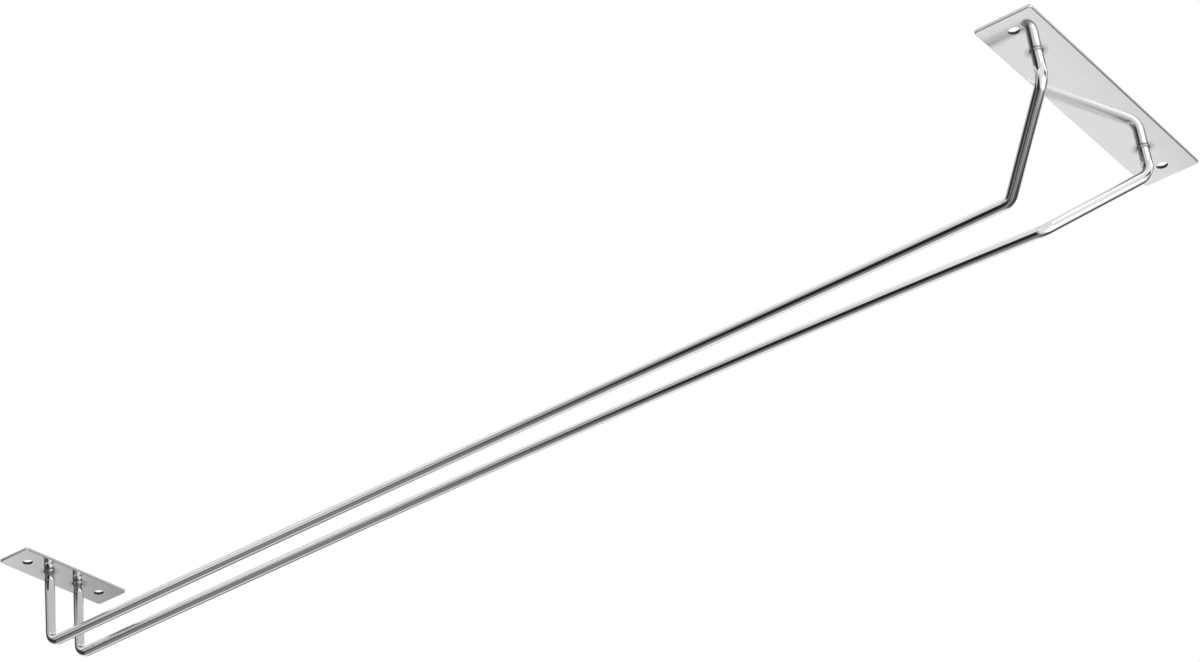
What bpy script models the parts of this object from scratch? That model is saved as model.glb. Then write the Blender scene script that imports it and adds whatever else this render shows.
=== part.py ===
"""Hanging wine glass rack: two bent wire rails welded under two screw-on plates.

Metres, +Z up. The origin is the middle of the front plate's top face, the face that lies against the
shelf. The rails run back along +Y, and the entry for the glasses faces -Y. Left is -X, right is +X.
"""

import math

import bmesh
import bpy
from mathutils import Vector

# Layout: plates, legs and rails
PLATE_SPACING = 0.587
FRONT_LEG_SPACING = 0.0975
RAIL_SPACING_FRONT = 0.0304
RAIL_SPACING_REAR = 0.0204
RAIL_DROP = 0.0395
FRONT_LEG_DROP = 0.0137
ENTRY_REACH = 0.0386
RAIL_CROWN = 0.0019

# Plates: a tab is the length of plate beyond a leg's axis
PLATE_THICKNESS = 0.0015
FRONT_PLATE_DEPTH = 0.0262
FRONT_PLATE_TAB = 0.0291
REAR_PLATE_DEPTH = 0.0190
REAR_PLATE_TAB = 0.0255
PLATE_CORNER_RADIUS = 0.0015
PLATE_EDGE_ROUND = 0.00025

# Screw holes
HOLE_DIAMETER = 0.005
HOLE_CHAMFER = 0.0003
HOLE_INSET = 0.0103
CUT_OVERRUN = 0.001

# Wires
WIRE_DIAMETER = 0.0052
FRONT_LEG_BEND_RADIUS = 0.0075
ENTRY_BEND_RADIUS = 0.008
REAR_BEND_RADIUS = 0.005

# Welds
WELD_HEIGHT = 0.0012
WELD_FLASH = 0.0006
WELD_WIRE_OVERLAP = 0.0001
SEAT_GAP = 0.0003

# Counts and shares
SPREAD_POWER = 4.3
RAIL_STEPS = 24
BEND_STEPS = 8
WIRE_BEVEL_RESOLUTION = 8
CORNER_STEPS = 6
EDGE_SEGMENTS = 2
EDGE_BEVEL_ANGLE = math.radians(60)
HOLE_SIDES = 40
WELD_SIDES = 28
WELD_STEPS = 6
MOST_BEND_SHARE = 0.45
SMOOTH_ANGLE = math.radians(35)

# Finishes: colour, roughness
PLATE_FINISH = ((0.66, 0.67, 0.68), 0.20)
WIRE_FINISH = ((0.70, 0.71, 0.72), 0.10)
WELD_FINISH = ((0.52, 0.52, 0.52), 0.35)

WIRE_RADIUS = WIRE_DIAMETER / 2
WIRE_END_Z = -(PLATE_THICKNESS + SEAT_GAP + WELD_HEIGHT + SEAT_GAP)
SIDES = {"left": -1, "right": 1}


def clear_scene():
    for obj in list(bpy.data.objects):
        bpy.data.objects.remove(obj, do_unlink=True)


def make_material(name, finish):
    colour, roughness = finish
    material = bpy.data.materials.new(name)
    material.use_nodes = True
    shader = material.node_tree.nodes["Principled BSDF"]
    shader.inputs["Base Color"].default_value = (*colour, 1)
    shader.inputs["Metallic"].default_value = 1
    shader.inputs["Roughness"].default_value = roughness
    return material


def add_object(name, data, parent, location):
    obj = bpy.data.objects.new(name, data)
    bpy.context.scene.collection.objects.link(obj)
    obj.parent = parent
    obj.location = location
    return obj


def mesh_from(name, mesh_builder):
    mesh = bpy.data.meshes.new(name)
    bmesh.ops.recalc_face_normals(mesh_builder, faces=mesh_builder.faces)
    mesh_builder.to_mesh(mesh)
    mesh_builder.free()
    mesh.shade_smooth()
    mesh.set_sharp_from_angle(angle=SMOOTH_ANGLE)
    return mesh


def turned_mesh(name, profile, sides):
    """A solid turned about Z from (radius, height) points that run from its lower face to its upper one."""
    builder = bmesh.new()
    rings = []
    for radius, height in profile:
        turns = [math.tau * step / sides for step in range(sides)]
        rings.append(
            [builder.verts.new((radius * math.cos(turn), radius * math.sin(turn), height)) for turn in turns]
        )
    for lower, upper in zip(rings, rings[1:]):
        for step in range(sides):
            after = (step + 1) % sides
            builder.faces.new((lower[step], lower[after], upper[after], upper[step]))
    builder.faces.new(rings[0])
    builder.faces.new(rings[-1])
    return mesh_from(name, builder)


def rounded_rectangle(length, depth, radius):
    """The corners of a length by depth outline, each rounded by an arc."""
    points = []
    for quarter, (across, along) in enumerate(((1, 1), (-1, 1), (-1, -1), (1, -1))):
        centre = Vector((across * (length / 2 - radius), along * (depth / 2 - radius), 0))
        for step in range(CORNER_STEPS + 1):
            turn = math.pi / 2 * (quarter + step / CORNER_STEPS)
            points.append(centre + radius * Vector((math.cos(turn), math.sin(turn), 0)))
    return points


def hole_cutter(name, plate, place):
    """The drill through a plate, with its chamfer at both faces and its own overrun beyond them."""
    radius = HOLE_DIAMETER / 2
    flared = radius + HOLE_CHAMFER + CUT_OVERRUN
    profile = [
        (flared, -PLATE_THICKNESS - CUT_OVERRUN),
        (radius, -PLATE_THICKNESS + HOLE_CHAMFER),
        (radius, -HOLE_CHAMFER),
        (flared, CUT_OVERRUN),
    ]
    cutter = add_object(name, turned_mesh(name, profile, HOLE_SIDES), plate, place)
    cutter.hide_render = True
    cutter.display_type = "WIRE"
    return cutter


def make_plate(name, rack, place, length, depth):
    """A flat strip with rounded corners and a screw hole near each end. Its top face is at its own zero."""
    builder = bmesh.new()
    outline = rounded_rectangle(length, depth, PLATE_CORNER_RADIUS)
    face = builder.faces.new([builder.verts.new(point) for point in outline])
    extruded = bmesh.ops.extrude_face_region(builder, geom=[face])
    moved = [item for item in extruded["geom"] if isinstance(item, bmesh.types.BMVert)]
    bmesh.ops.translate(builder, verts=moved, vec=(0, 0, -PLATE_THICKNESS))
    plate = add_object(name, mesh_from(name, builder), rack, place)
    plate.data.materials.append(make_material(name, PLATE_FINISH))

    edges = plate.modifiers.new("edge_round", "BEVEL")
    edges.width = PLATE_EDGE_ROUND
    edges.segments = EDGE_SEGMENTS
    edges.limit_method = "ANGLE"
    edges.angle_limit = EDGE_BEVEL_ANGLE
    for side, sign in SIDES.items():
        hole_place = (sign * (length / 2 - HOLE_INSET), 0, 0)
        hole = plate.modifiers.new(side + "_hole", "BOOLEAN")
        hole.operation = "DIFFERENCE"
        hole.object = hole_cutter(name + "_" + side + "_drill", plate, hole_place)
    return plate


def rail_point(sign, share):
    """A point on a rail's axis, from its front corner at 0 to its rear corner at 1."""
    spread = (RAIL_SPACING_FRONT - RAIL_SPACING_REAR) * (1 - share) ** SPREAD_POWER
    half_spacing = (RAIL_SPACING_REAR + spread) / 2
    crown = RAIL_CROWN * (1 - (2 * share - 1) ** 2)
    return Vector(
        (
            sign * half_spacing,
            ENTRY_REACH + (PLATE_SPACING - ENTRY_REACH) * share,
            -PLATE_THICKNESS - RAIL_DROP + crown,
        )
    )


def bend(before, corner, after, radius):
    """The points of an arc that rounds a corner. The arc leaves part of each straight run beside it."""
    back = before - corner
    ahead = after - corner
    half_angle = back.angle(ahead) / 2
    tangent = min(radius / math.tan(half_angle), MOST_BEND_SHARE * min(back.length, ahead.length))
    reach = tangent * math.tan(half_angle)
    bisector = (back.normalized() + ahead.normalized()).normalized()
    middle = corner + bisector * tangent / math.cos(half_angle)
    start = corner + back.normalized() * tangent - middle
    end = corner + ahead.normalized() * tangent - middle
    sweep = start.angle(end)
    points = []
    for step in range(BEND_STEPS + 1):
        share = step / BEND_STEPS
        blend = (start * math.sin((1 - share) * sweep) + end * math.sin(share * sweep)) / math.sin(sweep)
        points.append(middle + blend.normalized() * reach)
    return points


def wire_axis(sign):
    """The axis of one wire, from its front weld to its rear weld."""
    front_x = sign * FRONT_LEG_SPACING / 2
    front_end = Vector((front_x, 0, WIRE_END_Z))
    front_corner = Vector((front_x, 0, -PLATE_THICKNESS - FRONT_LEG_DROP))
    rail = [rail_point(sign, step / RAIL_STEPS) for step in range(RAIL_STEPS + 1)]
    rear_end = Vector((sign * RAIL_SPACING_REAR / 2, PLATE_SPACING, WIRE_END_Z))
    return [
        front_end,
        *bend(front_end, front_corner, rail[0], FRONT_LEG_BEND_RADIUS),
        *bend(front_corner, rail[0], rail[1], ENTRY_BEND_RADIUS),
        *rail[1:-1],
        *bend(rail[-2], rail[-1], rear_end, REAR_BEND_RADIUS),
        rear_end,
    ]


def make_wire(name, rack, sign):
    """One bent wire. Its origin is its front end, under the weld."""
    axis = wire_axis(sign)
    curve = bpy.data.curves.new(name, "CURVE")
    curve.dimensions = "3D"
    curve.bevel_depth = WIRE_RADIUS
    curve.bevel_resolution = WIRE_BEVEL_RESOLUTION
    curve.use_fill_caps = True
    spline = curve.splines.new("POLY")
    spline.points.add(len(axis) - 1)
    for point, place in zip(spline.points, axis):
        point.co = (*(place - axis[0]), 1)
    wire = add_object(name, curve, rack, axis[0])
    curve.materials.append(make_material(name, WIRE_FINISH))
    return wire


def make_weld(name, rack, place):
    """The upset flash where a wire's end is welded to a plate: wide at the plate, as wide as the wire below."""
    narrow = WIRE_RADIUS + WELD_WIRE_OVERLAP
    profile = []
    for step in range(WELD_STEPS + 1):
        share = step / WELD_STEPS
        profile.append((narrow + WELD_FLASH * share**2, -WELD_HEIGHT * (1 - share)))
    weld = add_object(name, turned_mesh(name, profile, WELD_SIDES), rack, place)
    weld.data.materials.append(make_material(name, WELD_FINISH))
    return weld


def main():
    clear_scene()
    rack = add_object("rack", None, None, (0, 0, 0))
    weld_z = -PLATE_THICKNESS - SEAT_GAP
    front_length = FRONT_LEG_SPACING + 2 * FRONT_PLATE_TAB
    rear_length = RAIL_SPACING_REAR + 2 * REAR_PLATE_TAB
    rear_place = (0, PLATE_SPACING, 0)
    make_plate("front_mounting_plate", rack, (0, 0, 0), front_length, FRONT_PLATE_DEPTH)
    make_plate("rear_mounting_plate", rack, rear_place, rear_length, REAR_PLATE_DEPTH)
    for side, sign in SIDES.items():
        make_wire(side + "_rail_wire", rack, sign)
        make_weld("front_" + side + "_weld", rack, (sign * FRONT_LEG_SPACING / 2, 0, weld_z))
        make_weld("rear_" + side + "_weld", rack, (sign * RAIL_SPACING_REAR / 2, PLATE_SPACING, weld_z))


main()
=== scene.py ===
"""Looks of a hanging wine glass rack: plated wires, plates and welds, seen from below against white.

Metres, +Z up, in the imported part's own frame. Left is -X, right is +X, and the entry for the glasses
faces -Y.
"""

import math

import bmesh
import bpy
from bpy.props import FloatProperty, FloatVectorProperty, PointerProperty
from mathutils import Matrix, Quaternion, Vector, noise


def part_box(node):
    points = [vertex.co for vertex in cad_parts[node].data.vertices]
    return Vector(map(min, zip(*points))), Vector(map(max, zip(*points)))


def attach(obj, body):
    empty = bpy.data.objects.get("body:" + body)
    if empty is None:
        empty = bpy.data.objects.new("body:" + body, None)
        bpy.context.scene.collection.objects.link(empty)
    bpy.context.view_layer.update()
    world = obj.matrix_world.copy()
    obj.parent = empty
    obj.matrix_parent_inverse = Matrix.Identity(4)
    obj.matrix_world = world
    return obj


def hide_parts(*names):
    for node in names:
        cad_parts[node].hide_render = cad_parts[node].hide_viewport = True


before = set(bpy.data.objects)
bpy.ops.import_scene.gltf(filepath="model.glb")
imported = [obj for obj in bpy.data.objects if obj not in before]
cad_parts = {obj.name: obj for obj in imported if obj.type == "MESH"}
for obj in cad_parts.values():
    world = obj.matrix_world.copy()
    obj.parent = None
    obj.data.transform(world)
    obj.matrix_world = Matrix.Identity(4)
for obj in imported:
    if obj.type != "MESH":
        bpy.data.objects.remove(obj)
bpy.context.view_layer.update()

bl_info = {
    "name": "Wine Glass Rack Looks",
    "version": (1, 0, 0),
    "blender": (4, 5, 0),
    "location": "3D View > Sidebar > Glass Rack",
    "description": "Plated wires, plates and welds of a hanging wine glass rack, with its studio",
    "category": "Object",
}

SIDES = {"left": -1, "right": 1}

# Sizes read from the frame: the left wire's box, whose front leg is at y = 0, and the front plate's box
WIRE_LOW, WIRE_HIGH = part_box("left_rail_wire")
PLATE_LOW, PLATE_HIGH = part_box("front_mounting_plate")
WIRE_RADIUS = -WIRE_LOW.y
LEG_SPACING = -2 * (WIRE_LOW.x + WIRE_RADIUS)
RAIL_SPACING = 2 * (WIRE_RADIUS - WIRE_HIGH.x)
REAR_LEG_Y = WIRE_HIGH.y - WIRE_RADIUS
RAIL_DEPTH = -WIRE_LOW.z - WIRE_RADIUS
PLATE_THICKNESS = PLATE_HIGH.z - PLATE_LOW.z

# Camera, as the photograph was taken: from below, from the left and a little in front of the entry
CAMERA_PLACE = (-1.017431, -0.370395, -0.704541)
CAMERA_TARGET = (-0.000360, 0.253032, -0.002856)
CAMERA_ROLL = math.radians(-7.609)
CAMERA_LENS = 91.335
CAMERA_SENSOR = 36
CAMERA_NEAR = 0.01
CAMERA_FAR = 100

# Studio: lamps and cards face points at the rack's height. Azimuth turns from +Y towards +X.
# Lamps: y of the point, azimuth, elevation, distance, size and whether the metal mirrors the lamp's face.
# Cards: the same up to the distance, then width, height, tone and the width of the soft edge.
AIM_HEIGHT = -0.03
FLOOR_REACH = 30
FLOOR_ROUGHNESS = 0.9
LAMPS = {
    "key_lamp": (0.25, -55, 60, 1.9, 1.2, False),
    "fill_lamp": (0.25, 150, 35, 1.8, 1.0, True),
    "entry_lamp": (0.25, -174, -34, 1.3, 1.0, True),
}
CARDS = {
    "left_card": (0.25, -78, -30, 0.9, 0.75, 1.15, 0.025, 0.3),
    "rear_card": (0.25, -18, -14, 1.2, 1.05, 2.7, 0.045, 0.4),
    "right_card": (0.25, 117, -42, 1.0, 0.75, 1.45, 0.075, 0.25),
    "under_card": (0.25, -42, -54, 1.1, 1.3, 2.35, 0.26, 0.17),
    "shelf_card": (0.25, -60, 22, 1.3, 0.5, 0.7, 0.33, 0.28),
    "corner_card": (0.25, 43, -21, 1.25, 0.3, 0.9, 0.085, 0.25),
    "side_card": (0.25, 128, 19, 1.2, 0.45, 1.1, 0.45, 0.1),
    "crest_card": (0.25, 31, 35, 1.2, 0.4, 0.5, 0.05, 0.15),
    "entry_card": (0.25, 172, 4, 2.5, 1.6, 0.6, 0.06, 0.3),
    "entry_right_card": (0.25, 134, -8, 2.5, 1.2, 0.9, 0.06, 0.3),
    "entry_top_card": (0.25, 180, 49, 3.0, 3.0, 0.9, 0.06, 0.3),
    "far_left_card": (0.25, -90, 60, 3.0, 0.6, 0.9, 0.06, 0.2),
    "far_right_card": (0.25, 90, 60, 3.0, 0.6, 0.9, 0.06, 0.2),
    "low_right_card": (0.25, 90, -24, 3.0, 0.6, 0.8, 0.06, 0.2),
    "leg_left_card": (0.587, -70, 26.5, 0.6, 0.4, 0.08, 0.5, 0.02),
    "leg_near_card": (0.587, -110, 26.5, 0.6, 0.4, 0.08, 0.64, 0.02),
    "leg_front_card": (0.587, -150, 26.5, 0.6, 0.4, 0.08, 0.64, 0.02),
    "leg_far_card": (0.587, 170, 26.5, 0.6, 0.4, 0.08, 0.64, 0.02),
    "leg_right_card": (0.587, 130, 26.5, 0.6, 0.4, 0.08, 0.64, 0.02),
}

# Wire plating: sizes of its patterns, how far the lines are drawn out, the height of its ripples, and how
# far along the wire a weld's heat reached
WIRE_CLOUD = 0.018
WIRE_RIPPLE = 0.007
DRAW_LINE = 0.0004
DRAWN_SHARE = 0.02
WIRE_RELIEF = 0.00002
HEAT_REACH = 0.004

# How much rougher and darker each pattern makes the wires
WIRE_LINE_ROUGHNESS = 0.06
WIRE_CLOUD_ROUGHNESS = 0.04
WIRE_BEND_ROUGHNESS = 0.03
WIRE_HEAT_ROUGHNESS = 0.08
WIRE_CLOUD_SHADE = 0.05
WIRE_HEAT_SHADE = 0.12

# Plate plating: sizes of its patterns, how far the lines are drawn out, the height of its ripples, and
# where the haze round a weld starts to fade, where it ends and what share of it shows on the top face
PLATE_CLOUD = 0.012
PLATE_RIPPLE = 0.009
ROLLING_LINE = 0.0005
SHEAR_LINE = 0.0003
ROLLED_SHARE = 0.04
PLATE_RELIEF = 0.00002
HAZE_NEAR = 0.0028
HAZE_FAR = 0.006
HAZE_THROUGH_SHARE = 0.2

# How much rougher, darker and higher each pattern makes the plates
PLATE_LINE_ROUGHNESS = 0.08
PLATE_CLOUD_ROUGHNESS = 0.05
PLATE_HAZE_ROUGHNESS = 0.3
PLATE_CUT_ROUGHNESS = 0.12
PLATE_SHEAR_ROUGHNESS = 0.15
PLATE_LINE_SHADE = 0.04
PLATE_CLOUD_SHADE = 0.05
PLATE_HAZE_SHADE = 0.5
# The next two darken the sheared edges: partly duller sheared metal and partly painted shade on the edge
# faces
CUT_DULLING_AND_PAINTED_SHADE = 0.1
SHEAR_DULLING_AND_PAINTED_SHADE = 0.1
# Darkens the hole walls: partly their thin, dull plating and partly painted shade in the recess
BORE_DULLING_AND_PAINTED_SHADE = 0.75
SHEAR_RELIEF_SHARE = 0.2

# Weld plating: sizes of its lumps and pits, their height, and how much rougher and darker lumps make it
WELD_LUMP = 0.0011
WELD_PIT = 0.0003
WELD_RELIEF = 0.00008
PIT_RELIEF_SHARE = 0.3
WELD_LUMP_ROUGHNESS = 0.3
WELD_LUMP_SHADE = 0.4

# Noise patterns: the value that they vary about, and how fine their smallest parts are
NOISE_MIDDLE = 0.5
RIPPLE_DETAIL = 1
CLOUD_DETAIL = 2
LINE_DETAIL = 3

# Sockets of a Mix node that mixes colours, by number
MIX_FIRST = 6
MIX_SECOND = 7
MIX_COLOUR = 2

BLACK = (0, 0, 0, 1)
WHITE = (1, 1, 1, 1)

# Mesh forms: how far a weld's rim stands off the wire, the flat border beside a plate's rolled edge, how
# much of a straight run a bend may take, and how far through their rise and fall a weld's lumps are at
# the plate
RIM_STEP = 0.00005
EDGE_SUPPORT = 0.0002
MOST_BEND_SHARE = 0.45
LUMP_START_SHARE = 0.25

# Mesh fineness. BEND_LEAD is the rail's steps from a corner to the point that a bend is aimed from.
WIRE_SIDES = 48
RAIL_STEPS = 96
LEG_STEPS = 6
BEND_STEPS = 18
BEND_LEAD = 8
CORNER_STEPS = 10
ROLL_STEPS = 5
HOLE_SIDES = 64
WELD_SIDES = 64
WELD_STEPS = 14


class WireSettings(bpy.types.PropertyGroup):
    """Sizes of the two bent wires."""

    diameter: FloatProperty(
        name="Wire diameter",
        description="Diameter of the drawn wire",
        default=2 * WIRE_RADIUS,
        unit="LENGTH",
    )
    leg_spacing: FloatProperty(
        name="Front leg spacing",
        description="Distance between the axes of the two front legs",
        default=LEG_SPACING,
        unit="LENGTH",
    )
    rail_spacing: FloatProperty(
        name="Rail spacing",
        description="Distance between the rails' axes at the rear",
        default=RAIL_SPACING,
        unit="LENGTH",
    )
    entry_spacing: FloatProperty(
        name="Entry spacing",
        description="Distance between the rails' axes where they meet the sloping entry",
        default=0.0304,
        unit="LENGTH",
    )
    entry_reach: FloatProperty(
        name="Entry reach",
        description="How far the sloping entry runs back from the front legs",
        default=0.0386,
        unit="LENGTH",
    )
    leg_drop: FloatProperty(
        name="Front leg drop",
        description="Height from the plate's underside to the corner where a front leg turns",
        default=0.0137,
        unit="LENGTH",
    )
    crown: FloatProperty(
        name="Rail crown",
        description="How far the middle of a rail bows upwards",
        default=0.0019,
        unit="LENGTH",
    )
    spread_power: FloatProperty(
        name="Spread power",
        description="How quickly the rails draw together behind the entry",
        default=4.3,
    )
    leg_bend: FloatProperty(
        name="Leg bend radius",
        description="Axis radius of the bend under a front leg",
        default=0.0075,
        unit="LENGTH",
    )
    entry_bend: FloatProperty(
        name="Entry bend radius",
        description="Axis radius of the bend between the sloping entry and the rail",
        default=0.008,
        unit="LENGTH",
    )
    rear_bend: FloatProperty(
        name="Rear bend radius",
        description="Axis radius of the bend under a rear leg",
        default=0.005,
        unit="LENGTH",
    )
    flattening: FloatProperty(
        name="Bend flattening",
        description="Share of the wire's thickness that a bend presses flat",
        default=0.035,
        subtype="FACTOR",
    )


class PlateSettings(bpy.types.PropertyGroup):
    """Sizes of the two stamped plates."""

    corner_radius: FloatProperty(
        name="Corner radius",
        description="Radius of a plate's corners, seen from below",
        default=0.0015,
        unit="LENGTH",
    )
    lower_roll: FloatProperty(
        name="Lower edge radius",
        description="Radius that the stamping leaves on the edges of the face that shows",
        default=0.00035,
        unit="LENGTH",
    )
    upper_roll: FloatProperty(
        name="Upper edge radius",
        description="Radius of the edges of the face against the shelf",
        default=0.00015,
        unit="LENGTH",
    )
    hole_roll: FloatProperty(
        name="Hole edge radius",
        description="Radius that the punch leaves on the edges of a screw hole",
        default=0.0001,
        unit="LENGTH",
    )
    hole_diameter: FloatProperty(
        name="Hole diameter",
        description="Diameter of a screw hole",
        default=0.005,
        unit="LENGTH",
    )
    hole_inset: FloatProperty(
        name="Hole inset",
        description="Distance from a plate's end to its screw hole's centre",
        default=0.0103,
        unit="LENGTH",
    )


class WeldSettings(bpy.types.PropertyGroup):
    """Sizes of the four welds."""

    height: FloatProperty(
        name="Weld height",
        description="Height of the fused collar under a plate",
        default=0.001,
        unit="LENGTH",
    )
    flash: FloatProperty(
        name="Weld flash",
        description="How far the collar stands out beyond the wire at the plate",
        default=0.0004,
        unit="LENGTH",
    )
    unevenness: FloatProperty(
        name="Weld unevenness",
        description="How far lumps in the collar rise and fall",
        default=0.00008,
        unit="LENGTH",
    )


class FinishSettings(bpy.types.PropertyGroup):
    """Colours and roughness of the plated metal."""

    wire_colour: FloatVectorProperty(
        name="Wire colour",
        description="Colour that the wires' plating reflects",
        default=(0.79, 0.80, 0.81),
        subtype="COLOR",
        size=3,
        min=0,
        max=1,
    )
    wire_roughness: FloatProperty(
        name="Wire roughness",
        description="Roughness of the wires' plating",
        default=0.06,
        subtype="FACTOR",
    )
    plate_colour: FloatVectorProperty(
        name="Plate colour",
        description="Colour that the plates' plating reflects",
        default=(0.79, 0.795, 0.80),
        subtype="COLOR",
        size=3,
        min=0,
        max=1,
    )
    plate_roughness: FloatProperty(
        name="Plate roughness",
        description="Roughness of the plates' plating",
        default=0.09,
        subtype="FACTOR",
    )
    weld_colour: FloatVectorProperty(
        name="Weld colour",
        description="Colour that the plating over a weld reflects",
        default=(0.56, 0.56, 0.56),
        subtype="COLOR",
        size=3,
        min=0,
        max=1,
    )
    weld_roughness: FloatProperty(
        name="Weld roughness",
        description="Roughness of the plating over a weld",
        default=0.22,
        subtype="FACTOR",
    )


class StudioSettings(bpy.types.PropertyGroup):
    """The floor far below the rack, the white surroundings and the soft lamps."""

    floor_depth: FloatProperty(
        name="Floor depth",
        description="Distance from the rack down to the floor",
        default=1.8,
        unit="LENGTH",
    )
    floor_colour: FloatVectorProperty(
        name="Floor colour",
        description="Colour of the floor",
        default=(0.9, 0.9, 0.9),
        subtype="COLOR",
        size=3,
        min=0,
        max=1,
    )
    floor_paleness: FloatProperty(
        name="Floor paleness",
        description="How far the floor that is seen, or mirrored in metal, fades to white",
        default=0.85,
        subtype="FACTOR",
    )
    surround: FloatProperty(
        name="Surround strength",
        description="Brightness of the white surroundings on matt surfaces",
        default=0.7,
    )
    lamp_radiance: FloatProperty(
        name="Lamp brightness",
        description="Brightness of a soft lamp's face, where the white surroundings are 1",
        default=1.25,
    )


class Link:
    """One output of a shader node. Sums and products of links and numbers add Math nodes to its tree."""

    def __init__(self, tree, socket=None):
        self.tree = tree
        self.socket = socket

    def node(self, kind, settings=None, sockets=None, output=0):
        """Adds a node of a kind: its settings first, then a value or a link for each socket named."""
        made = self.tree.nodes.new(kind)
        for name, value in (settings or {}).items():
            setattr(made, name, value)
        for name, value in (sockets or {}).items():
            if isinstance(value, Link):
                self.tree.links.new(value.socket, made.inputs[name])
            else:
                made.inputs[name].default_value = value
        return Link(self.tree, made.outputs[output] if len(made.outputs) else None)

    def math(self, operation, first, second):
        """Adds a Math node on two links or numbers."""
        return self.node("ShaderNodeMath", {"operation": operation}, {0: first, 1: second})

    def __add__(self, other):
        return self.math("ADD", self, other)

    __radd__ = __add__

    def __sub__(self, other):
        return self.math("SUBTRACT", self, other)

    def __rsub__(self, other):
        return self.math("SUBTRACT", other, self)

    def __mul__(self, other):
        return self.math("MULTIPLY", self, other)

    __rmul__ = __mul__


def new_material(name):
    """An empty material and the start of its tree."""
    material = bpy.data.materials.new(name)
    material.use_nodes = True
    material.node_tree.nodes.clear()
    return material, Link(material.node_tree)


def noise_of(tree, place, size, detail):
    """A cloudy pattern from 0 to 1 whose patches are about size across."""
    return tree.node("ShaderNodeTexNoise", None, {"Vector": place, "Scale": 1 / size, "Detail": detail})


def stretched(tree, place, shares):
    """The place with each of its axes scaled, which draws a pattern out along the axes that shrink."""
    return tree.node("ShaderNodeVectorMath", {"operation": "MULTIPLY"}, {0: place, 1: shares})


def point_value(tree, name, output="Fac"):
    """A value that the mesh keeps at each of its points."""
    return tree.node("ShaderNodeAttribute", {"attribute_name": name}, output=output)


def axis_of(tree, place, axis):
    """One number of a place: its X, Y or Z."""
    return tree.node("ShaderNodeSeparateXYZ", None, {0: place}, axis)


def plated(tree, colour, shade, roughness, height, relief):
    """Finishes a plated metal. shade is the share of light lost, and a height of 1 is relief metres."""
    sockets = {"Factor": shade, MIX_FIRST: (*colour, 1), MIX_SECOND: BLACK}
    base = tree.node("ShaderNodeMix", {"data_type": "RGBA"}, sockets, output=MIX_COLOUR)
    normal = tree.node("ShaderNodeBump", None, {"Height": height, "Strength": 1, "Distance": relief})
    sockets = {"Base Color": base, "Metallic": 1, "Roughness": roughness, "Normal": normal}
    surface = tree.node("ShaderNodeBsdfPrincipled", None, sockets)
    tree.node("ShaderNodeOutputMaterial", None, {"Surface": surface})


def wire_material(finish):
    """Bright plating on drawn wire: fine lines along it, duller in its bends and beside its welds."""
    material, tree = new_material("wire_plating")
    stock = point_value(tree, "stock", "Vector")
    bent = point_value(tree, "bent")
    heat = point_value(tree, "heat")
    lines = noise_of(tree, stretched(tree, stock, (1, 1, DRAWN_SHARE)), DRAW_LINE, LINE_DETAIL)
    clouds = noise_of(tree, stock, WIRE_CLOUD, CLOUD_DETAIL)
    ripple = noise_of(tree, stock, WIRE_RIPPLE, RIPPLE_DETAIL)
    roughness = finish.wire_roughness + (lines - NOISE_MIDDLE) * WIRE_LINE_ROUGHNESS
    roughness = roughness + (clouds - NOISE_MIDDLE) * WIRE_CLOUD_ROUGHNESS
    roughness = roughness + bent * WIRE_BEND_ROUGHNESS + heat * WIRE_HEAT_ROUGHNESS
    shade = clouds * WIRE_CLOUD_SHADE + heat * WIRE_HEAT_SHADE
    plated(tree, finish.wire_colour, shade, roughness, ripple, WIRE_RELIEF)
    return material


def haze_of(tree, place, weld_place):
    """How strongly the heat of its two welds hazed a plate, from 0 to 1.

    It weakens away from them and towards the top face. weld_place is the place of either weld with the signs
    of its numbers dropped.
    """
    mirrored = tree.node("ShaderNodeVectorMath", {"operation": "ABSOLUTE"}, {0: place})
    sockets = {0: mirrored, 1: weld_place}
    away = tree.node("ShaderNodeVectorMath", {"operation": "DISTANCE"}, sockets, "Value")
    near = tree.node(
        "ShaderNodeMapRange",
        {"interpolation_type": "SMOOTHSTEP"},
        {"Value": away, "From Min": HAZE_NEAR, "From Max": HAZE_FAR, "To Min": 1, "To Max": 0},
    )
    depth_share = axis_of(tree, place, "Z") * (-1 / PLATE_THICKNESS)
    return near * (HAZE_THROUGH_SHARE + depth_share * (1 - HAZE_THROUGH_SHARE))


def plate_material(finish, weld_place):
    """Bright plating on rolled strip: rolling lines, a haze round each weld and rougher sheared edges."""
    material, tree = new_material("plate_plating")
    place = tree.node("ShaderNodeTexCoord", output="Object")
    cut = point_value(tree, "cut")
    # Mask of the hole walls, whose darkening is partly dull plating and partly painted shade
    dull_shaded_bore = point_value(tree, "dull_shaded_bore")
    rolled = noise_of(tree, stretched(tree, place, (ROLLED_SHARE, 1, 1)), ROLLING_LINE, LINE_DETAIL)
    sheared = noise_of(tree, stretched(tree, place, (1, 1, ROLLED_SHARE)), SHEAR_LINE, CLOUD_DETAIL)
    clouds = noise_of(tree, place, PLATE_CLOUD, CLOUD_DETAIL)
    ripple = noise_of(tree, place, PLATE_RIPPLE, RIPPLE_DETAIL)
    haze = haze_of(tree, place, weld_place) * clouds
    roughness = finish.plate_roughness + (rolled - NOISE_MIDDLE) * PLATE_LINE_ROUGHNESS
    roughness = roughness + (clouds - NOISE_MIDDLE) * PLATE_CLOUD_ROUGHNESS + haze * PLATE_HAZE_ROUGHNESS
    roughness = roughness + cut * (PLATE_CUT_ROUGHNESS + sheared * PLATE_SHEAR_ROUGHNESS)
    shade = clouds * PLATE_CLOUD_SHADE + rolled * PLATE_LINE_SHADE + haze * PLATE_HAZE_SHADE
    # Darker sheared edges and hole walls: partly duller metal and thinner plating, partly painted shade
    shade = shade + cut * (CUT_DULLING_AND_PAINTED_SHADE + sheared * SHEAR_DULLING_AND_PAINTED_SHADE) + dull_shaded_bore * BORE_DULLING_AND_PAINTED_SHADE
    height = ripple + cut * sheared * SHEAR_RELIEF_SHARE
    plated(tree, finish.plate_colour, shade, roughness, height, PLATE_RELIEF)
    return material


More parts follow.
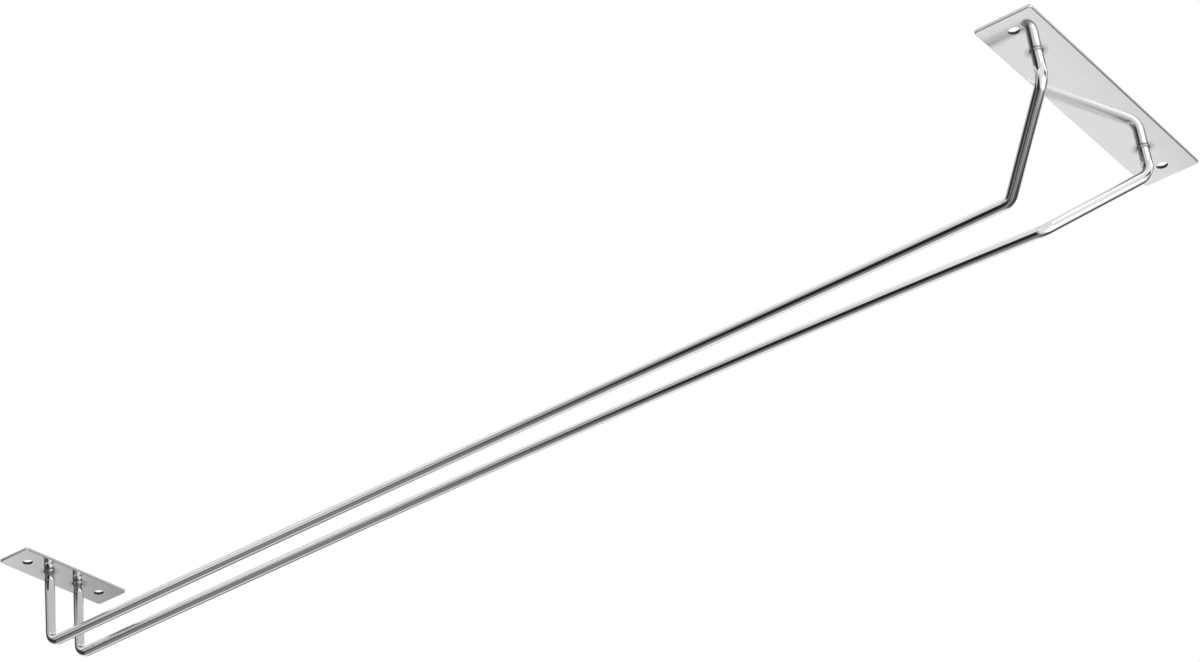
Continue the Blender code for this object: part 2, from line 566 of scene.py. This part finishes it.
def weld_material(finish):
    """Plating over the lumpy skin of a weld."""
    material, tree = new_material("weld_plating")
    place = tree.node("ShaderNodeTexCoord", output="Object")
    lumps = noise_of(tree, place, WELD_LUMP, LINE_DETAIL)
    pits = noise_of(tree, place, WELD_PIT, CLOUD_DETAIL)
    roughness = finish.weld_roughness + (lumps - NOISE_MIDDLE) * WELD_LUMP_ROUGHNESS
    height = lumps + pits * PIT_RELIEF_SHARE
    plated(tree, finish.weld_colour, lumps * WELD_LUMP_SHADE, roughness, height, WELD_RELIEF)
    return material


def add_piece(name, mesh, material, node):
    """A finished piece that stands for a node of the frame and goes with the rack."""
    piece = bpy.data.objects.new(name, mesh)
    bpy.context.scene.collection.objects.link(piece)
    mesh.materials.append(material)
    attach(piece, "root")
    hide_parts(node)


def finished_mesh(name, builder):
    """Turns a builder into a smooth mesh whose faces point outwards."""
    mesh = bpy.data.meshes.new(name)
    bmesh.ops.recalc_face_normals(builder, faces=builder.faces)
    builder.to_mesh(mesh)
    builder.free()
    mesh.shade_smooth()
    return mesh


def bridge(builder, lower, upper):
    """Closes the band between two rings of as many points."""
    count = len(lower)
    for step in range(count):
        after = (step + 1) % count
        builder.faces.new((lower[step], lower[after], upper[after], upper[step]))


def capped_mesh(name, builder, rings):
    """A smooth mesh over rings that follow each other, closed at the first and the last of them."""
    for lower, upper in zip(rings, rings[1:]):
        bridge(builder, lower, upper)
    builder.faces.new(rings[0])
    builder.faces.new(rings[-1])
    return finished_mesh(name, builder)


def turns_round(sides):
    """The angles of as many points spread round a circle."""
    return [math.tau * step / sides for step in range(sides)]


def rail_point(wires, sign, share):
    """A point on a rail's axis, from its front corner at 0 to its rear corner at 1."""
    spread = (wires.entry_spacing - wires.rail_spacing) * (1 - share) ** wires.spread_power
    across = (wires.rail_spacing + spread) / 2
    along = wires.entry_reach + (REAR_LEG_Y - wires.entry_reach) * share
    height = wires.crown * (1 - (2 * share - 1) ** 2) - RAIL_DEPTH
    return Vector((sign * across, along, height))


def straight(start, end, steps):
    """Points from start to just before end, none of them in a bend."""
    return [(start.lerp(end, step / steps), 0) for step in range(steps)]


def bend(before, corner, after, radius):
    """Points of an arc that rounds a corner, each with how far it is into the bend, from 0 to 1."""
    back = before - corner
    ahead = after - corner
    half_angle = back.angle(ahead) / 2
    tangent = min(radius / math.tan(half_angle), MOST_BEND_SHARE * min(back.length, ahead.length))
    bisector = (back.normalized() + ahead.normalized()).normalized()
    middle = corner + bisector * tangent / math.cos(half_angle)
    start = corner + back.normalized() * tangent - middle
    end = corner + ahead.normalized() * tangent - middle
    sweep = start.angle(end)
    points = []
    for step in range(BEND_STEPS + 1):
        share = step / BEND_STEPS
        blend = (start * math.sin((1 - share) * sweep) + end * math.sin(share * sweep)) / math.sin(sweep)
        points.append((middle + blend.normalized() * start.length, math.sin(math.pi * share)))
    return points


def wire_path(wires, sign):
    """A wire's axis from its front weld to its rear weld, as points with how far each is into a bend."""
    front_x = sign * wires.leg_spacing / 2
    top = -PLATE_THICKNESS
    front_end = Vector((front_x, 0, top))
    front_corner = Vector((front_x, 0, top - wires.leg_drop))
    rail = [rail_point(wires, sign, step / RAIL_STEPS) for step in range(RAIL_STEPS + 1)]
    rear_end = Vector((sign * wires.rail_spacing / 2, REAR_LEG_Y, top))
    leg = bend(front_end, front_corner, rail[0], wires.leg_bend)
    entry = bend(front_corner, rail[0], rail[BEND_LEAD], wires.entry_bend)
    rear = bend(rail[-1 - BEND_LEAD], rail[-1], rear_end, wires.rear_bend)
    level = [(point, 0) for point in rail if entry[-1][0].y < point.y < rear[0][0].y]
    return [
        *straight(front_end, leg[0][0], LEG_STEPS),
        *leg,
        *straight(leg[-1][0], entry[0][0], LEG_STEPS)[1:],
        *entry,
        *level,
        *rear,
        *straight(rear[-1][0], rear_end, LEG_STEPS)[1:],
        (rear_end, 0),
    ]


def lengths_along(points):
    """How far along their path each of the points is."""
    lengths = [0]
    for before, after in zip(points, points[1:]):
        lengths.append(lengths[-1] + (after - before).length)
    return lengths


def wire_mesh(name, path, wires):
    """A round wire swept along a path. Each point keeps, as stock, its place on the unbent wire."""
    radius = wires.diameter / 2
    points = [point for point, bent in path]
    lengths = lengths_along(points)
    builder = bmesh.new()
    stock_layer = builder.verts.layers.float_vector.new("stock")
    bent_layer = builder.verts.layers.float.new("bent")
    heat_layer = builder.verts.layers.float.new("heat")
    side = Vector((1, 0, 0))
    rings = []
    for index, (point, bent) in enumerate(path):
        before = points[max(index - 1, 0)]
        after = points[min(index + 1, len(points) - 1)]
        heading = (after - before).normalized()
        side = (side - heading * side.dot(heading)).normalized()
        upright = heading.cross(side)
        inward = ((before + after) / 2 - point).normalized()
        from_end = min(lengths[index], lengths[-1] - lengths[index])
        ring = []
        for turn in turns_round(WIRE_SIDES):
            offset = (side * math.cos(turn) + upright * math.sin(turn)) * radius
            pressed = inward * offset.dot(inward) * wires.flattening * bent
            vertex = builder.verts.new(point + offset - pressed)
            vertex[stock_layer] = (radius * math.cos(turn), radius * math.sin(turn), lengths[index])
            vertex[bent_layer] = bent
            vertex[heat_layer] = max(0, 1 - from_end / HEAT_REACH)
            ring.append(vertex)
        rings.append(ring)
    return capped_mesh(name, builder, rings)


def rounded_outline(length, depth, radius):
    """The points round a length by depth rectangle whose corners are arcs."""
    points = []
    for quarter, (across, along) in enumerate(((1, 1), (-1, 1), (-1, -1), (1, -1))):
        centre = Vector((across * (length / 2 - radius), along * (depth / 2 - radius), 0))
        for step in range(CORNER_STEPS + 1):
            turn = math.pi / 2 * (quarter + step / CORNER_STEPS)
            points.append(centre + radius * Vector((math.cos(turn), math.sin(turn), 0)))
    return points


def edge_profile(upper, lower):
    """(inset, height, cut) from the top face over an edge to the underside. cut is 1 where sheared."""
    points = [(upper + EDGE_SUPPORT, 0, 0)]
    for step in range(ROLL_STEPS + 1):
        turn = math.pi / 2 * step / ROLL_STEPS
        points.append((upper * (1 - math.sin(turn)), upper * (math.cos(turn) - 1), step / ROLL_STEPS))
    for step in range(ROLL_STEPS + 1):
        turn = math.pi / 2 * step / ROLL_STEPS
        inset = lower * (1 - math.cos(turn))
        points.append((inset, lower * (1 - math.sin(turn)) - PLATE_THICKNESS, 1 - step / ROLL_STEPS))
    points.append((lower + EDGE_SUPPORT, -PLATE_THICKNESS, 0))
    return points


def outer_rings(plates, centre, length, depth):
    """Rings of points over a plate's outer edge, from the top face to the underside, each with its cut."""
    rings = []
    for inset, height, cut in edge_profile(plates.upper_roll, plates.lower_roll):
        outline = rounded_outline(length - 2 * inset, depth - 2 * inset, plates.corner_radius - inset)
        rings.append(([centre + point + Vector((0, 0, height)) for point in outline], cut))
    return rings


def hole_rings(plates, middle):
    """Rings of points down a screw hole, from the top face to the underside, each with its cut."""
    rings = []
    for inset, height, cut in edge_profile(plates.hole_roll, plates.hole_roll):
        radius = plates.hole_diameter / 2 + inset
        ring = []
        for turn in turns_round(HOLE_SIDES):
            ring.append(middle + Vector((radius * math.cos(turn), radius * math.sin(turn), height)))
        rings.append((ring, cut))
    return rings


def add_wall(builder, rings, bored):
    """Builds a plate's outer edge or a hole's wall. Gives its borders at the top face and underside."""
    cut_layer = builder.verts.layers.float["cut"]
    bore_layer = builder.verts.layers.float["dull_shaded_bore"]
    made = []
    for points, cut in rings:
        ring = [builder.verts.new(point) for point in points]
        for vertex in ring:
            vertex[cut_layer] = cut
            vertex[bore_layer] = cut if bored else 0
        made.append(ring)
    for lower, upper in zip(made, made[1:]):
        bridge(builder, lower, upper)
    borders = []
    for ring in (made[0], made[-1]):
        borders.append([builder.edges.get(pair) for pair in zip(ring, [*ring[1:], ring[0]])])
    return borders


def plate_mesh(name, plates, low, high):
    """A stamped strip with rounded corners, rolled edges and a screw hole near each end."""
    length = high.x - low.x
    depth = high.y - low.y
    centre = (low + high) / 2
    centre.z = high.z
    builder = bmesh.new()
    builder.verts.layers.float.new("cut")
    builder.verts.layers.float.new("dull_shaded_bore")
    top_edges, under_edges = add_wall(builder, outer_rings(plates, centre, length, depth), False)
    for sign in SIDES.values():
        middle = centre + Vector((sign * (length / 2 - plates.hole_inset), 0, 0))
        top_border, under_border = add_wall(builder, hole_rings(plates, middle), True)
        top_edges.extend(top_border)
        under_edges.extend(under_border)
    bmesh.ops.triangle_fill(builder, use_beauty=True, edges=top_edges, normal=(0, 0, 1))
    bmesh.ops.triangle_fill(builder, use_beauty=True, edges=under_edges, normal=(0, 0, -1))
    return finished_mesh(name, builder)


def weld_mesh(name, welds, radius, place):
    """The collar of fused metal between wire and plate: wide and lumpy above, thin at its lower rim."""
    builder = bmesh.new()
    rings = []
    for level in range(WELD_STEPS + 1):
        share = level / WELD_STEPS
        reach = radius + RIM_STEP + welds.flash * (1 - share) ** 2
        rise = math.sin(math.pi * (LUMP_START_SHARE + (1 - LUMP_START_SHARE) * share))
        ring = []
        for turn in turns_round(WELD_SIDES):
            outward = Vector((math.cos(turn), math.sin(turn), 0))
            spot = place + outward * reach - Vector((0, 0, welds.height * share))
            lump = noise.noise(spot / WELD_LUMP) * welds.unevenness * rise
            ring.append(builder.verts.new(spot + outward * lump))
        rings.append(ring)
    return capped_mesh(name, builder, rings)


class MakePlates(bpy.types.Operator):
    """Makes the front and the rear mounting plate with their plating"""

    bl_idname = "glass_rack.plates"
    bl_label = "Mounting Plates"

    def execute(self, context):
        plates = context.scene.rack_plates
        wires = context.scene.rack_wires
        if plates.lower_roll + plates.upper_roll >= PLATE_THICKNESS:
            raise ValueError("the rounded edges are thicker than the plate")
        welded = {"front": (wires.leg_spacing / 2, 0), "rear": (wires.rail_spacing / 2, REAR_LEG_Y)}
        for end, (across, along) in welded.items():
            node = end + "_mounting_plate"
            mesh = plate_mesh(end + "_plate", plates, *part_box(node))
            material = plate_material(context.scene.rack_finish, (across, along, PLATE_THICKNESS))
            add_piece(end + "_plate", mesh, material, node)
        return {"FINISHED"}


class MakeWires(bpy.types.Operator):
    """Makes the two bent rail wires with their plating"""

    bl_idname = "glass_rack.wires"
    bl_label = "Rail Wires"

    def execute(self, context):
        wires = context.scene.rack_wires
        if wires.diameter >= wires.rail_spacing:
            raise ValueError("the rails touch, so no stem passes between them")
        material = wire_material(context.scene.rack_finish)
        for side, sign in SIDES.items():
            mesh = wire_mesh(side + "_rail", wire_path(wires, sign), wires)
            add_piece(side + "_rail", mesh, material, side + "_rail_wire")
        return {"FINISHED"}


class MakeWelds(bpy.types.Operator):
    """Makes the four welds between the wires and the plates"""

    bl_idname = "glass_rack.welds"
    bl_label = "Welds"

    def execute(self, context):
        welds = context.scene.rack_welds
        if welds.height <= 0:
            raise ValueError("the welds need a height")
        radius = context.scene.rack_wires.diameter / 2
        material = weld_material(context.scene.rack_finish)
        for end in ("front", "rear"):
            for side in SIDES:
                node = end + "_" + side + "_weld"
                low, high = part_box(node)
                place = (low + high) / 2
                place.z = -PLATE_THICKNESS
                mesh = weld_mesh(node, welds, radius, place)
                add_piece(node + "_collar", mesh, material, node)
        return {"FINISHED"}


def aimed(place, target, roll=0):
    """The placing of a lamp, card or camera that looks from a place at a target."""
    forward = Vector(target) - Vector(place)
    turn = forward.to_track_quat("-Z", "Y") @ Quaternion((0, 0, 1), roll)
    return Matrix.Translation(place) @ turn.to_matrix().to_4x4()


def seen_share(tree):
    """1 where a surface is seen, in a mirror or through glass too, and 0 where it only gives light."""
    ray = tree.node("ShaderNodeLightPath", output="Is Camera Ray")
    mirrored = tree.node("ShaderNodeLightPath", output="Is Glossy Ray")
    through = tree.node("ShaderNodeLightPath", output="Is Transmission Ray")
    return tree.math("MINIMUM", ray + mirrored + through, 1)


def add_floor(studio):
    """A plain pale floor, far enough below for a view from underneath."""
    builder = bmesh.new()
    bmesh.ops.create_grid(builder, x_segments=1, y_segments=1, size=FLOOR_REACH)
    floor = bpy.data.objects.new("floor", finished_mesh("floor", builder))
    bpy.context.scene.collection.objects.link(floor)
    floor.location.z = -studio.floor_depth
    material, tree = new_material("floor_paint")
    sockets = {"Base Color": (*studio.floor_colour, 1), "Roughness": FLOOR_ROUGHNESS}
    paint = tree.node("ShaderNodeBsdfPrincipled", None, sockets)
    white = tree.node("ShaderNodeEmission", None, {"Color": WHITE, "Strength": 1})
    pale = seen_share(tree) * studio.floor_paleness
    surface = tree.node("ShaderNodeMixShader", None, {0: pale, 1: paint, 2: white})
    tree.node("ShaderNodeOutputMaterial", None, {"Surface": surface})
    floor.data.materials.append(material)


def add_surround(studio):
    """White all round, at full strength wherever it is seen directly or in the metal."""
    world = bpy.data.worlds.new("surround")
    world.use_nodes = True
    world.node_tree.nodes.clear()
    tree = Link(world.node_tree)
    seen = seen_share(tree)
    strength = seen + (1 - seen) * studio.surround
    light = tree.node("ShaderNodeBackground", None, {"Color": WHITE, "Strength": strength})
    tree.node("ShaderNodeOutputWorld", None, {"Surface": light})
    bpy.context.scene.world = world


def standing(along, azimuth, elevation, distance):
    """The placing of a lamp or card that faces a point of the rack from a direction, in degrees."""
    target = Vector((0, along, AIM_HEIGHT))
    turn = math.radians(azimuth)
    climb = math.radians(elevation)
    level = math.cos(climb)
    direction = Vector((math.sin(turn) * level, math.cos(turn) * level, math.sin(climb)))
    return aimed(target + direction * distance, target)


def add_lamp(name, placing, size, mirrored, radiance):
    """A square soft lamp that shines at the rack. Only the metal sees its face, and only if mirrored."""
    lamp = bpy.data.lights.new(name, "AREA")
    lamp.shape = "SQUARE"
    lamp.size = size
    lamp.energy = radiance * math.pi * size**2
    holder = bpy.data.objects.new(name, lamp)
    bpy.context.scene.collection.objects.link(holder)
    holder.matrix_world = placing
    holder.visible_camera = False
    holder.visible_glossy = mirrored


def add_card(name, placing, width, height, tone, soft):
    """A grey card that only the metal sees, as photographers use to give plated metal its dark lines."""
    reach = Vector((width + soft, height + soft, 1)) / 2
    builder = bmesh.new()
    bmesh.ops.create_grid(builder, x_segments=1, y_segments=1, size=1)
    bmesh.ops.scale(builder, vec=reach, verts=builder.verts)
    card = bpy.data.objects.new(name, finished_mesh(name, builder))
    bpy.context.scene.collection.objects.link(card)
    card.matrix_world = placing
    material, tree = new_material(name)
    place = tree.node("ShaderNodeTexCoord", output="Object")
    across = tree.node("ShaderNodeVectorMath", {"operation": "ABSOLUTE"}, {0: place})
    inside = tree.node("ShaderNodeVectorMath", {"operation": "SUBTRACT"}, {0: reach, 1: across})
    columns = tree.math("MINIMUM", axis_of(tree, inside, "X") * (1 / soft), 1)
    rows = tree.math("MINIMUM", axis_of(tree, inside, "Y") * (1 / soft), 1)
    solid = columns * rows
    paint = tree.node("ShaderNodeEmission", None, {"Color": (tone, tone, tone, 1), "Strength": 1})
    clear = tree.node("ShaderNodeBsdfTransparent")
    surface = tree.node("ShaderNodeMixShader", None, {0: solid, 1: clear, 2: paint})
    tree.node("ShaderNodeOutputMaterial", None, {"Surface": surface})
    card.data.materials.append(material)
    card.visible_camera = False
    card.visible_diffuse = False
    card.visible_shadow = False


def add_camera():
    """The camera, placed where the photograph was taken from."""
    camera = bpy.data.cameras.new("camera")
    camera.sensor_width = CAMERA_SENSOR
    camera.lens = CAMERA_LENS
    camera.clip_start = CAMERA_NEAR
    camera.clip_end = CAMERA_FAR
    holder = bpy.data.objects.new("camera", camera)
    bpy.context.scene.collection.objects.link(holder)
    holder.matrix_world = aimed(CAMERA_PLACE, CAMERA_TARGET, CAMERA_ROLL)
    bpy.context.scene.camera = holder


class MakeStudio(bpy.types.Operator):
    """Makes the floor, the white surroundings, the soft lamps, the cards and the camera"""

    bl_idname = "glass_rack.studio"
    bl_label = "Studio"

    def execute(self, context):
        studio = context.scene.rack_studio
        if studio.floor_depth <= -CAMERA_PLACE[2]:
            raise ValueError("the floor hides the rack from the camera below it")
        add_floor(studio)
        add_surround(studio)
        for name, (*stand, size, mirrored) in LAMPS.items():
            add_lamp(name, standing(*stand), size, mirrored, studio.lamp_radiance)
        for name, (*stand, width, height, tone, soft) in CARDS.items():
            add_card(name, standing(*stand), width, height, tone, soft)
        add_camera()
        context.scene.view_settings.view_transform = "Standard"
        return {"FINISHED"}


class RackPanel(bpy.types.Panel):
    """The rack's pieces, their sizes and their finishes"""

    bl_idname = "VIEW3D_PT_glass_rack"
    bl_label = "Wine Glass Rack"
    bl_space_type = "VIEW_3D"
    bl_region_type = "UI"
    bl_category = "Glass Rack"

    def draw(self, context):
        for maker, held in PANEL_ROWS:
            box = self.layout.box()
            box.operator(maker.bl_idname)
            settings = getattr(context.scene, held)
            for name in settings.__annotations__:
                box.prop(settings, name)
        finish = self.layout.box()
        for name in context.scene.rack_finish.__annotations__:
            finish.prop(context.scene.rack_finish, name)


PANEL_ROWS = (
    (MakePlates, "rack_plates"),
    (MakeWires, "rack_wires"),
    (MakeWelds, "rack_welds"),
    (MakeStudio, "rack_studio"),
)
SETTINGS = {
    "rack_wires": WireSettings,
    "rack_plates": PlateSettings,
    "rack_welds": WeldSettings,
    "rack_finish": FinishSettings,
    "rack_studio": StudioSettings,
}
CLASSES = (*SETTINGS.values(), MakePlates, MakeWires, MakeWelds, MakeStudio, RackPanel)


def register():
    for one in CLASSES:
        bpy.utils.register_class(one)
    for name, kind in SETTINGS.items():
        setattr(bpy.types.Scene, name, PointerProperty(type=kind))


def unregister():
    for name in SETTINGS:
        delattr(bpy.types.Scene, name)
    for one in reversed(CLASSES):
        bpy.utils.unregister_class(one)


def main():
    register()
    bpy.ops.glass_rack.plates()
    bpy.ops.glass_rack.wires()
    bpy.ops.glass_rack.welds()
    bpy.ops.glass_rack.studio()


if __name__ == "__main__":
    main()
